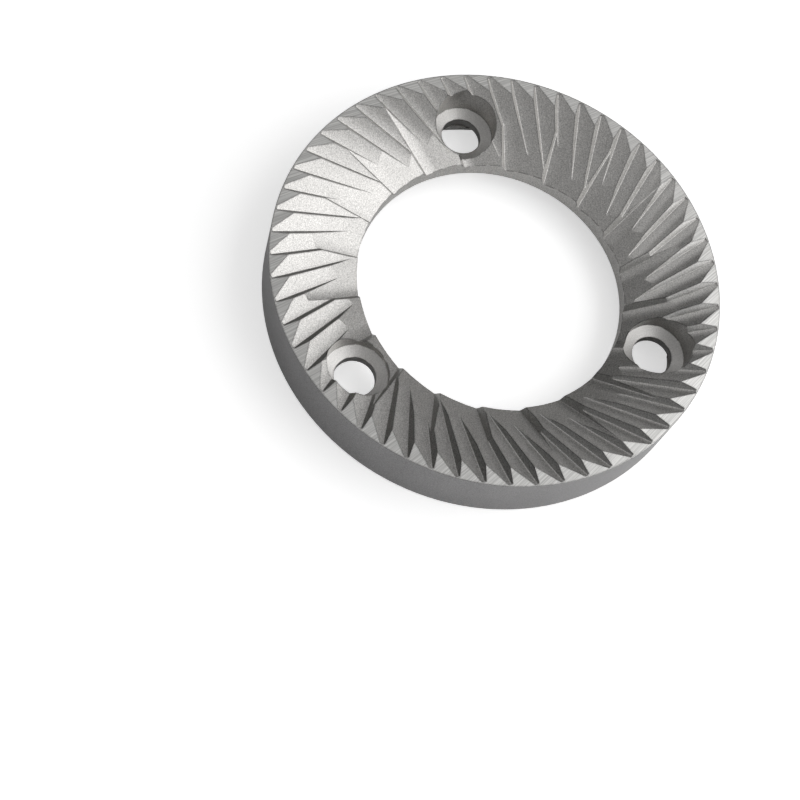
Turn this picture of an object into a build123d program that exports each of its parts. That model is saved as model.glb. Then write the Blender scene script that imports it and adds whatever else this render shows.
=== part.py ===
from build123d import *
import math
import os

os.makedirs("parts", exist_ok=True)

# Ring body, mm. The seating rim lies on Z = 0 and the cutting face looks up.
outer_dia = 64.0
ring_width = 12.7
total_height = 9.5
web_thickness = 6.8

# Hidden side: seating rim, sloped step and recessed floor.
rim_width = 3.4
step_draft_width = 0.7
step_foot_chamfer = 0.7
rim_edge_chamfer = 0.3
back_chamfer = 0.5
bore_back_chamfer = 0.35

# Screw seats: round recess, cone and through hole, with a wall left outside them.
screw_count = 3
seat_outer_wall = 2.7
screw_hole_dia = 5.8
seat_dia = 9.0
recess_depth = 4.5
cone_bottom_depth = 5.2
hole_back_chamfer = 0.4

# Fine finishing grooves. Their valley lines would leave the land just outside
# the ring, and the cut starts a little further in, which leaves a small end wall.
fine_count = 56
fine_tip_overrun = 0.5
fine_tip_start = 0.85
fine_phase = -0.72
fine_lean = 18.9
fine_dip = 14.2
fine_steep_angle = 46.2
fine_gentle_angle = 25.2
fine_valley_radius = 0.12

# Coarse feeding grooves, cut deeper towards the bore.
coarse_count = 20
coarse_tip_inset = 2.7
coarse_phase = 6.4
coarse_lean = 9.5
coarse_dip = 25.5
coarse_steep_angle = 51.5
coarse_gentle_angle = 19.1
coarse_valley_radius = 0.12

# Grinding wheel: width of its two faces, and how far it runs out past the bore wall.
fine_face_length = 9.0
coarse_face_length = 11.0
wheel_runout = 2.0

outer_radius = outer_dia / 2
bore_radius = outer_radius - ring_width
rim_inner_radius = outer_radius - rim_width
floor_height = total_height - web_thickness
foot_radius = rim_inner_radius - step_draft_width
seat_radius = seat_dia / 2
screw_hole_radius = screw_hole_dia / 2
screw_circle_radius = outer_radius - seat_outer_wall - seat_radius
fine_apex_radius = outer_radius + fine_tip_overrun
coarse_apex_radius = outer_radius - coarse_tip_inset


def valley_plane(apex_radius, phase, lean, dip):
    # Plane square to a valley line: X points clockwise, Y up, Z along the line.
    angle = math.radians(phase)
    heading = math.radians(phase + 180 + lean)
    fall = math.radians(dip)
    apex = (apex_radius * math.cos(angle), apex_radius * math.sin(angle), total_height)
    run = math.cos(fall)
    along = (run * math.cos(heading), run * math.sin(heading), -math.sin(fall))
    across = (-math.sin(heading), math.cos(heading), 0)
    return Plane(origin=apex, x_dir=across, z_dir=along)


def valley_length(apex_radius, lean, dip):
    # Distance along a valley line from its apex to the wheel's runout in the bore.
    reach = apex_radius * math.cos(math.radians(lean))
    offset = apex_radius * math.sin(math.radians(lean))
    level_run = reach - math.sqrt(bore_radius**2 - offset**2)
    return (level_run + wheel_runout) / math.cos(math.radians(dip))


def face_end(angle, length, side):
    tilt = math.radians(angle)
    return (side * length * math.cos(tilt), length * math.sin(tilt))


fine_plane = valley_plane(fine_apex_radius, fine_phase, fine_lean, fine_dip)
fine_sweep = valley_length(fine_apex_radius, fine_lean, fine_dip) - fine_tip_start
coarse_plane = valley_plane(coarse_apex_radius, coarse_phase, coarse_lean, coarse_dip)
coarse_sweep = valley_length(coarse_apex_radius, coarse_lean, coarse_dip)

with BuildPart() as fine_cutter:
    with BuildSketch(fine_plane.offset(fine_tip_start)) as fine_profile:
        with BuildLine():
            steep_end = face_end(fine_steep_angle, fine_face_length, -1)
            gentle_end = face_end(fine_gentle_angle, fine_face_length, 1)
            corner = (gentle_end[0], steep_end[1])
            Polyline(steep_end, (0, 0), gentle_end, corner, close=True)
        make_face()
        valley = fine_profile.vertices().sort_by_distance((0, 0, 0))[0]
        fillet(valley, radius=fine_valley_radius)
    extrude(amount=fine_sweep)

with BuildPart() as coarse_cutter:
    with BuildSketch(coarse_plane) as coarse_profile:
        with BuildLine():
            steep_end = face_end(coarse_steep_angle, coarse_face_length, -1)
            gentle_end = face_end(coarse_gentle_angle, coarse_face_length, 1)
            corner = (gentle_end[0], steep_end[1])
            Polyline(steep_end, (0, 0), gentle_end, corner, close=True)
        make_face()
        valley = coarse_profile.vertices().sort_by_distance((0, 0, 0))[0]
        fillet(valley, radius=coarse_valley_radius)
    extrude(amount=coarse_sweep)

with BuildPart() as burr:
    with BuildSketch(Plane.XZ) as section:
        with BuildLine():
            Polyline(
                (bore_radius, floor_height),
                (bore_radius, total_height),
                (outer_radius, total_height),
                (outer_radius, back_chamfer),
                (outer_radius - back_chamfer, 0),
                (rim_inner_radius, 0),
                (foot_radius, floor_height),
                close=True,
            )
        make_face()
        step_foot = section.vertices().sort_by_distance((foot_radius, floor_height, 0))[0]
        chamfer(step_foot, length=step_foot_chamfer)
        rim_edge = section.vertices().sort_by_distance((rim_inner_radius, 0, 0))[0]
        chamfer(rim_edge, length=rim_edge_chamfer)
        bore_edge = section.vertices().sort_by_distance((bore_radius, floor_height, 0))[0]
        chamfer(bore_edge, length=bore_back_chamfer)
    revolve(axis=Axis.Z)

    with PolarLocations(0, fine_count):
        add(fine_cutter.part, mode=Mode.SUBTRACT)
    with PolarLocations(0, coarse_count):
        add(coarse_cutter.part, mode=Mode.SUBTRACT)

    with Locations((0, 0, total_height)):
        with PolarLocations(screw_circle_radius, screw_count):
            Cylinder(
                seat_radius,
                recess_depth,
                align=(Align.CENTER, Align.CENTER, Align.MAX),
                mode=Mode.SUBTRACT,
            )
            Cylinder(
                screw_hole_radius,
                total_height,
                align=(Align.CENTER, Align.CENTER, Align.MAX),
                mode=Mode.SUBTRACT,
            )
    with Locations((0, 0, total_height - recess_depth)):
        with PolarLocations(screw_circle_radius, screw_count):
            Cone(
                screw_hole_radius,
                seat_radius,
                cone_bottom_depth - recess_depth,
                align=(Align.CENTER, Align.CENTER, Align.MAX),
                mode=Mode.SUBTRACT,
            )
    with Locations((0, 0, floor_height)):
        with PolarLocations(screw_circle_radius, screw_count):
            Cone(
                screw_hole_radius + hole_back_chamfer,
                screw_hole_radius,
                hole_back_chamfer,
                align=(Align.CENTER, Align.CENTER, Align.MIN),
                mode=Mode.SUBTRACT,
            )

burr.part.label = "burr"
export_step(burr.part, "parts/burr.step")
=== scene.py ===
import math

import bpy
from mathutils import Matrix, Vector

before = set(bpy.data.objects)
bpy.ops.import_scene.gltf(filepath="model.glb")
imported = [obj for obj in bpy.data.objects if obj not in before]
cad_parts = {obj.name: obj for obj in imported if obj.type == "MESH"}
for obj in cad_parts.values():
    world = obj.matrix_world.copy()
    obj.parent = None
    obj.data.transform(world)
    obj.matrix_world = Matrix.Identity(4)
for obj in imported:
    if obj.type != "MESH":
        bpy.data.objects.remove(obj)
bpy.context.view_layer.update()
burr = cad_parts["burr"]
print("frame loaded, node burr has", len(burr.data.polygons), "faces")

burrLook = {
    # sizes that the finish follows, in metres; they repeat the CAD model's own
    "outerRadius": 0.0320,
    "faceHeight": 0.0095,
    "backFloor": 0.0027,
    "screwCircleRadius": 0.0248,
    "screwCount": 3,
    "seatRadius": 0.0045,
    "coneHeight": 0.0050,       # where the seat's cone begins, below the recess
    "screwHoleRadius": 0.0029,
    "landMargin": (0.00003, 0.00001),   # how far below the face the lands' finish begins and is full
    "wallMargin": (0.00006, 0.00003),   # the same inside the outer wall
    "seatMargin": 0.00001,              # how far the seats' finish stays inside the recess wall
    "holeMargin": 0.00002,              # how far the holes' finish reaches past their wall

    # the two sets of grooves: offset is how far a valley line passes from the axis, turn the heading of
    # the first one in degrees, gentleUp the upward part of the gentle side's normal, and the last two
    # say how wide and how strong its hollow is
    "grooves": {
        "fine": {
            "count": 56,
            "offset": 0.010527,
            "turn": 18.18,
            "gentleUp": (0.868, 0.886),
            "hollowReach": 0.0016,
            "hollowTilt": 0.27,
        },
        "coarse": {
            "count": 20,
            "offset": 0.004836,
            "turn": 15.90,
            "gentleUp": (0.844, 0.862),
            "hollowReach": 0.0018,
            "hollowTilt": 0.23,
        },
    },

    # the upward part of the normal, from where a face isn't of the kind to where it is
    "landUp": (0.98, 0.995),
    "steepUp": (0.80, 0.72),
    "steepAboveWalls": (0.35, 0.45),
    "backUp": (-0.02, -0.1),
    "backReach": (0.0005, 0.0004),      # how far above the back's floor its finish ends

    "grooveColor": (0.55, 0.54, 0.525, 1),
    "steepColor": (0.42, 0.415, 0.405, 1),      # painted shade: the steep cutting faces are coloured darker than the gentle sides
    "landColor": (0.64, 0.635, 0.62, 1),
    "wallColor": (0.345, 0.34, 0.343, 1),
    "backColor": (0.50, 0.495, 0.485, 1),
    "seatColor": (0.58, 0.57, 0.555, 1),
    # painted shade: the walls inside the screw holes are coloured dark
    "screwHoleColor": (0.26, 0.255, 0.25, 1),

    "grooveRoughness": 0.34,
    "landRoughness": 0.34,
    "wallRoughness": 0.34,
    "backRoughness": 0.44,
    "seatRoughness": 0.46,

    # the marks in the steel: each is a noise, and range and tint turn it into lighter and darker steel
    "marks": {
        "grain": {"scale": 6200, "detail": 3.0, "roughness": 0.65,
                  "range": (0.2, 0.8), "tint": (0.58, 1.42)},
        "cloud": {"scale": 150, "detail": 3.0, "roughness": 0.5,
                  "range": (0.35, 0.65), "tint": (-0.03, 0.03)},
        "groove": {"scale": 6000, "detail": 3.0, "roughness": 0.65,
                   "range": (0.3, 0.7), "tint": (0.95, 1.04)},
        "land": {"scale": 4600, "detail": 2.0, "roughness": 0.6,
                 "range": (0.35, 0.65), "tint": (0.72, 1.14)},
        "fineLand": {"scale": 14000, "detail": 2.0, "roughness": 0.6},
        "wall": {"scale": 9000, "detail": 2.0, "roughness": 0.5},
    },
    "fineLandShare": 0.35,
    "seatSmooth": 0.6,                      # share of the grain's tint that is missing on the seats
    "grainGloss": {"range": (0.3, 0.7), "change": (-0.04, 0.05)},
    "scratchCentre": (0.0687, -0.1367),     # the lands' grinding marks fan out from this far point
    "scratchReach": 0.153,
    "scratchStretch": 0.012,
    "grooveSpread": 0.030,                  # metres across the groove marks for a radian of turn
    "grooveStretch": 0.04,
    "wallStretch": 0.0012,                  # metres along the turning marks for a radian

    # how deep the marks look
    "grooveRelief": {"mark": 0.3, "grain": 0.4},
    "wallRelief": {"mark": 0.25, "grain": 0.2},
    "landRelief": 0.9,
    "bumpStrength": 0.5,
    "bumpDistance": 0.000018,

    "edgeRadius": 0.00004,
    "edgeSamples": 6,
    "crestReach": 0.00030,                  # width of the painted shade line along the sharp crests
    "crestSamples": 4,
    # how dark the painted shade on the crests gets
    "crestPaintedShade": 0.40,
    "crestFold": (0.965, 0.9985),           # how well the rounded normal agrees with the flat one
    "crestFree": (0.00022, 0.00032),        # distance from a valley line that stays free of it
    "crestUp": 0.99,                        # above this a face is a land and has no valley
}


class NodeBench:    # adds and wires the shader nodes of one material
    columnStep = 180
    rowStep = 160
    rows = 7

    def __init__(self, name):
        self.material = bpy.data.materials.new(name)
        self.material.use_nodes = True
        self.tree = self.material.node_tree
        self.tree.nodes.clear()
        self.column = 0

    def add(self, kind, **settings):
        node = self.tree.nodes.new(kind)
        self.column += 1
        node.location = (self.column * self.columnStep, -(self.column % self.rows) * self.rowStep)
        for key, value in settings.items():
            setattr(node, key, value)
        return node

    def link(self, source, target):
        self.tree.links.new(source, target)

    def feed(self, socket, value):
        if isinstance(value, bpy.types.NodeSocket):
            self.link(value, socket)
        else:
            socket.default_value = value

    def math(self, operation, first, second=None, third=None, clamp=False):
        node = self.add("ShaderNodeMath", operation=operation, use_clamp=clamp)
        for index, value in enumerate((first, second, third)):
            if value is not None:
                self.feed(node.inputs[index], value)
        return node.outputs[0]

    def times(self, first, second):
        return self.math("MULTIPLY", first, second)

    def hypotenuse(self, first, second):
        return self.math("SQRT", self.math("ADD", self.times(first, first), self.times(second, second)))

    def vector(self, operation, first, second=None, result="Vector"):
        node = self.add("ShaderNodeVectorMath", operation=operation)
        self.link(first, node.inputs[0])
        if second is not None:
            self.link(second, node.inputs[1])
        return node.outputs[result]

    def split(self, vector):
        node = self.add("ShaderNodeSeparateXYZ")
        self.link(vector, node.inputs[0])
        return node.outputs

    def combine(self, x, y, z):
        node = self.add("ShaderNodeCombineXYZ")
        for socket, value in zip(node.inputs, (x, y, z)):
            self.feed(socket, value)
        return node.outputs[0]

    def ramp(self, value, fromRange, toRange=(0.0, 1.0), kind="SMOOTHSTEP"):
        node = self.add("ShaderNodeMapRange", interpolation_type=kind)
        self.feed(node.inputs["Value"], value)
        names = ("From Min", "From Max", "To Min", "To Max")
        for name, limit in zip(names, (*fromRange, *toRange)):
            node.inputs[name].default_value = limit
        return node.outputs["Result"]

    def noise(self, vector, mark):
        node = self.add("ShaderNodeTexNoise")
        self.link(vector, node.inputs["Vector"])
        node.inputs["Scale"].default_value = mark["scale"]
        node.inputs["Detail"].default_value = mark["detail"]
        node.inputs["Roughness"].default_value = mark["roughness"]
        return node.outputs["Fac"]

    def bevel(self, radius, samples):
        node = self.add("ShaderNodeBevel", samples=samples)
        node.inputs["Radius"].default_value = radius
        return node.outputs[0]

    # a Mix node's inputs 2 and 3 are its numbers, and 6 and 7 its colours
    def mixValue(self, factor, first, second):
        node = self.add("ShaderNodeMix", data_type="FLOAT")
        self.feed(node.inputs[0], factor)
        self.feed(node.inputs[2], first)
        self.feed(node.inputs[3], second)
        return node.outputs[0]

    def mixColor(self, factor, first, second, blend="MIX"):
        node = self.add("ShaderNodeMix", data_type="RGBA", blend_type=blend)
        self.feed(node.inputs[0], factor)
        self.feed(node.inputs[6], first)
        self.feed(node.inputs[7], second)
        return node.outputs[2]

    def shade(self, color, factor):
        return self.mixColor(1.0, color, self.combine(factor, factor, factor), "MULTIPLY")


def grooveLines(bench, groove, angle, radius):
    # turn is the heading of the groove line through a point: every line of a set passes the axis at
    # one distance, so it is the point's own angle plus the arc sine of that distance over its radius
    lean = bench.math("ARCSINE", bench.math("DIVIDE", groove["offset"], radius))
    turn = bench.math("ADD", angle, lean)

    # distances to the next valley line on the gentle side and to the last one on the steep side
    pitch = 2 * math.pi / groove["count"]
    fromFirst = bench.math("SUBTRACT", turn, math.radians(groove["turn"]))
    share = bench.math("FRACT", bench.math("DIVIDE", fromFirst, pitch))
    reachSquare = bench.math("SUBTRACT", bench.times(radius, radius), groove["offset"] ** 2)
    spacing = bench.times(bench.math("SQRT", reachSquare), pitch)
    gentle = bench.times(bench.math("SUBTRACT", 1.0, share), spacing)
    return {"turn": turn, "gentle": gentle, "steep": bench.times(share, spacing)}


def hollowLean(bench, groove, lines, up):
    # the gentle sides are ground a little hollow and lie flatter near the valley than the CAD face:
    # the normal is pushed away from the valley, less and less up to the hollow's reach
    lean = bench.ramp(lines["gentle"], (0.0, groove["hollowReach"]), (groove["hollowTilt"], 0.0), "LINEAR")
    low, high = groove["gentleUp"]
    onFace = bench.times(bench.math("GREATER_THAN", up, low), bench.math("LESS_THAN", up, high))
    lean = bench.times(lean, onFace)
    sideX = bench.times(bench.math("SINE", lines["turn"]), lean)
    sideY = bench.times(bench.math("COSINE", lines["turn"]), bench.times(lean, -1.0))
    return bench.combine(sideX, sideY, 0.0)


def findFaces(bench, look, radius, angle, z, up):
    # a mask for each finish; what none of them covers is finished as the gentle sides of the grooves
    topRange = [look["faceHeight"] - margin for margin in look["landMargin"]]
    wallRange = [look["outerRadius"] - margin for margin in look["wallMargin"]]
    backRange = [look["backFloor"] + reach for reach in look["backReach"]]
    faces = {
        "land": bench.times(bench.ramp(z, topRange), bench.ramp(up, look["landUp"])),
        "steep": bench.times(bench.ramp(up, look["steepUp"]), bench.ramp(up, look["steepAboveWalls"])),
        "wall": bench.ramp(radius, wallRange),
        "back": bench.times(bench.ramp(z, backRange), bench.ramp(up, look["backUp"])),
    }

    # distance from the nearest screw hole's axis: the angle is folded into half of one third
    third = 2 * math.pi / look["screwCount"]
    folded = bench.math("PINGPONG", angle, third / 2)
    outwards = bench.times(radius, bench.math("COSINE", folded))
    fromCircle = bench.math("SUBTRACT", outwards, look["screwCircleRadius"])
    sideways = bench.times(radius, bench.math("SINE", folded))
    fromScrew = bench.hypotenuse(fromCircle, sideways)
    aboveFloor = bench.math("GREATER_THAN", z, look["backFloor"] + look["holeMargin"])
    belowRecess = bench.math("LESS_THAN", z, look["coneHeight"] + look["seatMargin"])
    inSeat = bench.math("LESS_THAN", fromScrew, look["seatRadius"] - look["seatMargin"])
    inHole = bench.math("LESS_THAN", fromScrew, look["screwHoleRadius"] + look["holeMargin"])
    faces["seat"] = bench.times(aboveFloor, bench.times(belowRecess, inSeat))
    faces["screwHole"] = bench.times(aboveFloor, inHole)
    return faces


def paintedCrestShade(bench, look, allLines, flatNormal, up):
    # painted shade: darker where two ground faces meet in a sharp crest, which is where a wide rounding
    # turns the normal away from the flat face's own; the valleys are left as they are
    rounded = bench.bevel(look["crestReach"], look["crestSamples"])
    agreement = bench.vector("DOT_PRODUCT", rounded, flatNormal, "Value")
    shade = bench.ramp(agreement, look["crestFold"], (look["crestPaintedShade"], 1.0))
    belowLands = bench.math("LESS_THAN", up, look["crestUp"])
    for lines in allLines.values():
        nearest = bench.math("MINIMUM", lines["gentle"], lines["steep"])
        inValley = bench.ramp(nearest, look["crestFree"], (1.0, 0.0))
        shade = bench.mixValue(bench.times(inValley, belowLands), shade, 1.0)
    return shade


def makeSteel(look):
    bench = NodeBench("groundSteel")
    place = bench.add("ShaderNodeTexCoord").outputs["Object"]
    x, y, z = bench.split(place)
    flatNormal = bench.add("ShaderNodeNewGeometry").outputs["True Normal"]
    up = bench.split(flatNormal)["Z"]
    radius = bench.hypotenuse(x, y)
    angle = bench.math("ARCTAN2", y, x)
    faces = findFaces(bench, look, radius, angle, z, up)
    allLines = {}
    for name, groove in look["grooves"].items():
        allLines[name] = grooveLines(bench, groove, angle, radius)

    marks = look["marks"]
    grain = bench.noise(place, marks["grain"])
    cloud = bench.noise(place, marks["cloud"])

    # grinding marks on the lands: noise drawn out along lines that fan out from one far point
    centreX, centreY = look["scratchCentre"]
    fromX = bench.math("SUBTRACT", x, centreX)
    fromY = bench.math("SUBTRACT", y, centreY)
    across = bench.times(bench.math("ARCTAN2", fromY, fromX), look["scratchReach"])
    along = bench.times(bench.hypotenuse(fromX, fromY), look["scratchStretch"])
    scratchPlace = bench.combine(along, across, 0.0)
    landMark = bench.noise(scratchPlace, marks["land"])
    fineLandMark = bench.noise(scratchPlace, marks["fineLand"])
    bothLandMarks = bench.mixValue(look["fineLandShare"], landMark, fineLandMark)

    # grinding marks in the grooves, along the fine valleys
    grooveAcross = bench.times(allLines["fine"]["turn"], look["grooveSpread"])
    grooveAlong = bench.times(radius, look["grooveStretch"])
    groovePlace = bench.combine(grooveAcross, grooveAlong, z)
    grooveMark = bench.noise(groovePlace, marks["groove"])

    # turning marks round the outer wall
    wallPlace = bench.combine(bench.times(angle, look["wallStretch"]), 0.0, z)
    wallMark = bench.noise(wallPlace, marks["wall"])

    # the steep faces' darker colour mixed in below is painted shade
    color = look["grooveColor"]
    # the screw holes' dark colour mixed in below is painted shade too
    for part in ("steep", "wall", "back", "seat", "screwHole", "land"):
        color = bench.mixColor(faces[part], color, look[part + "Color"])
    roughness = look["grooveRoughness"]
    for part in ("wall", "back", "seat", "land"):
        roughness = bench.mixValue(faces[part], roughness, look[part + "Roughness"])

    # lighter and darker steel where the marks are
    grainTint = bench.ramp(grain, marks["grain"]["range"], marks["grain"]["tint"])
    grainTint = bench.mixValue(faces["land"], grainTint, 1.0)
    grainTint = bench.mixValue(bench.times(faces["seat"], look["seatSmooth"]), grainTint, 1.0)
    cloudTint = bench.ramp(cloud, marks["cloud"]["range"], marks["cloud"]["tint"])
    grooveTint = bench.ramp(grooveMark, marks["groove"]["range"], marks["groove"]["tint"])
    landTint = bench.ramp(bothLandMarks, marks["land"]["range"], marks["land"]["tint"])
    markTint = bench.mixValue(faces["land"], grooveTint, landTint)
    color = bench.shade(color, bench.times(bench.math("ADD", grainTint, cloudTint), markTint))
    # painted shade along the sharp crests
    color = bench.shade(color, paintedCrestShade(bench, look, allLines, flatNormal, up))
    grainGloss = bench.ramp(grain, look["grainGloss"]["range"], look["grainGloss"]["change"])
    roughness = bench.math("ADD", roughness, bench.mixValue(faces["land"], grainGloss, 0.0))

    # height of the marks, and the edges slightly rounded
    grooveRelief = look["grooveRelief"]
    wallRelief = look["wallRelief"]
    grooveGrain = bench.times(grain, grooveRelief["grain"])
    grooveHeight = bench.math("MULTIPLY_ADD", grooveMark, grooveRelief["mark"], grooveGrain)
    wallGrain = bench.times(grain, wallRelief["grain"])
    wallHeight = bench.math("MULTIPLY_ADD", wallMark, wallRelief["mark"], wallGrain)
    landHeight = bench.times(landMark, look["landRelief"])
    height = bench.mixValue(faces["land"], grooveHeight, landHeight)
    height = bench.mixValue(faces["wall"], height, wallHeight)
    normal = bench.bevel(look["edgeRadius"], look["edgeSamples"])
    for name, groove in look["grooves"].items():
        normal = bench.vector("ADD", normal, hollowLean(bench, groove, allLines[name], up))
    bump = bench.add("ShaderNodeBump")
    bump.inputs["Strength"].default_value = look["bumpStrength"]
    bump.inputs["Distance"].default_value = look["bumpDistance"]
    bench.link(height, bump.inputs["Height"])
    bench.link(bench.vector("NORMALIZE", normal), bump.inputs["Normal"])

    shader = bench.add("ShaderNodeBsdfPrincipled")
    shader.inputs["Metallic"].default_value = 1.0
    bench.link(color, shader.inputs["Base Color"])
    bench.link(roughness, shader.inputs["Roughness"])
    bench.link(bump.outputs[0], shader.inputs["Normal"])
    output = bench.add("ShaderNodeOutputMaterial")
    bench.link(shader.outputs[0], output.inputs["Surface"])
    return bench.material


burr.data.materials.clear()
burr.data.materials.append(makeSteel(burrLook))
print("steel finish on the burr")


floorLook = {
    "width": 4.0,
    "color": (0.90, 0.90, 0.90, 1),
    "glowSeen": 0.54,           # added white where the camera sees the floor
    "glowFar": 1.0,             # the same far out, where the lights fall off
    "glowReach": (0.25, 0.9),   # distances from the middle between which it grows
    "glowMirrored": 0.02,       # added white where the steel mirrors the floor
}


def makeFloor(look):
    half = look["width"] / 2
    corners = [(-half, -half, 0), (half, -half, 0), (half, half, 0), (-half, half, 0)]
    mesh = bpy.data.meshes.new("floor")
    mesh.from_pydata(corners, [], [(0, 1, 2, 3)])
    floor = bpy.data.objects.new("floor", mesh)
    bpy.context.collection.objects.link(floor)

    bench = NodeBench("paleFloor")
    rays = bench.add("ShaderNodeLightPath").outputs
    place = bench.add("ShaderNodeTexCoord").outputs["Object"]
    fromMiddle = bench.vector("LENGTH", place, result="Value")
    glowSeen = bench.ramp(fromMiddle, look["glowReach"], (look["glowSeen"], look["glowFar"]))
    mirrored = bench.math("ADD", rays["Is Glossy Ray"], rays["Is Transmission Ray"], clamp=True)
    glowMirrored = bench.times(mirrored, look["glowMirrored"])
    strength = bench.math("MULTIPLY_ADD", rays["Is Camera Ray"], glowSeen, glowMirrored)
    matte = bench.add("ShaderNodeBsdfDiffuse")
    matte.inputs["Color"].default_value = look["color"]
    glow = bench.add("ShaderNodeEmission")
    glow.inputs["Color"].default_value = (1, 1, 1, 1)
    bench.link(strength, glow.inputs["Strength"])
    both = bench.add("ShaderNodeAddShader")
    bench.link(matte.outputs[0], both.inputs[0])
    bench.link(glow.outputs[0], both.inputs[1])
    output = bench.add("ShaderNodeOutputMaterial")
    bench.link(both.outputs[0], output.inputs["Surface"])
    mesh.materials.append(bench.material)


makeFloor(floorLook)
print("floor laid")


# soft panels: direction from the burr in degrees, distance and size in metres, power in watts;
# the gaps between them leave the dark zones that shade one side of the grooves
studioPanels = {
    "keyPanel": {
        "azimuth": -107, "elevation": 41, "distance": 0.60, "size": (0.80, 0.68), "power": 2.45,
    },
    "skyPanel": {
        "azimuth": 133, "elevation": 79, "distance": 0.85, "size": (2.2, 2.2), "power": 4.5,
    },
    "lowPanel": {
        "azimuth": -139, "elevation": 12, "distance": 0.70, "size": (1.00, 0.36), "power": 1.50,
    },
    "topPanel": {
        "azimuth": -49, "elevation": 53, "distance": 0.80, "size": (0.50, 0.34), "power": 0.27,
    },
    "backPanel": {
        "azimuth": 10, "elevation": 48, "distance": 0.80, "size": (0.36, 0.26), "power": 0.15,
    },
    "sidePanel": {
        "azimuth": -40, "elevation": 8, "distance": 0.70, "size": (0.70, 0.30), "power": 0.18,
    },
}

# the world is white where the camera sees it and dim for the steel
studioWorld = {"color": (1.0, 1.0, 1.0, 1), "strength": 0.085, "strengthSeen": 1.0}


def addPanel(name, panel):
    data = bpy.data.lights.new(name, "AREA")
    data.shape = "RECTANGLE"
    data.size, data.size_y = panel["size"]
    data.energy = panel["power"]
    light = bpy.data.objects.new(name, data)
    bpy.context.collection.objects.link(light)
    azimuth = math.radians(panel["azimuth"])
    elevation = math.radians(panel["elevation"])
    level = math.cos(elevation)
    away = Vector((level * math.cos(azimuth), level * math.sin(azimuth), math.sin(elevation)))
    light.location = away * panel["distance"]
    light.rotation_euler = away.to_track_quat("Z", "Y").to_euler()
    light.visible_camera = False


def lightWorld(look):
    world = bpy.data.worlds.new("studioWorld")
    world.use_nodes = True
    nodes = world.node_tree.nodes
    links = world.node_tree.links
    background = nodes["Background"]
    background.inputs["Color"].default_value = look["color"]
    rays = nodes.new("ShaderNodeLightPath")
    strength = nodes.new("ShaderNodeMapRange")
    strength.inputs["To Min"].default_value = look["strength"]
    strength.inputs["To Max"].default_value = look["strengthSeen"]
    links.new(rays.outputs["Is Camera Ray"], strength.inputs["Value"])
    links.new(strength.outputs["Result"], background.inputs["Strength"])
    bpy.context.scene.world = world


for panelName, panelValues in studioPanels.items():
    addPanel(panelName, panelValues)
lightWorld(studioWorld)
print("lights set")


# the photograph's view, worked out from the circles of the rim, bore and holes
photoView = {
    "location": (-0.093035, 0.063140, 0.191779),
    "rotation": (23.596, -10.452, -99.105),
    "lens": 69.34,
    "sensor": 36,
    "nearest": 0.01,
}

cameraData = bpy.data.cameras.new("camera")
cameraData.sensor_width = photoView["sensor"]
cameraData.lens = photoView["lens"]
cameraData.clip_start = photoView["nearest"]
camera = bpy.data.objects.new("camera", cameraData)
bpy.context.collection.objects.link(camera)
camera.location = photoView["location"]
camera.rotation_euler = [math.radians(turn) for turn in photoView["rotation"]]
bpy.context.scene.camera = camera
bpy.context.scene.view_settings.view_transform = "Standard"
print("camera set")
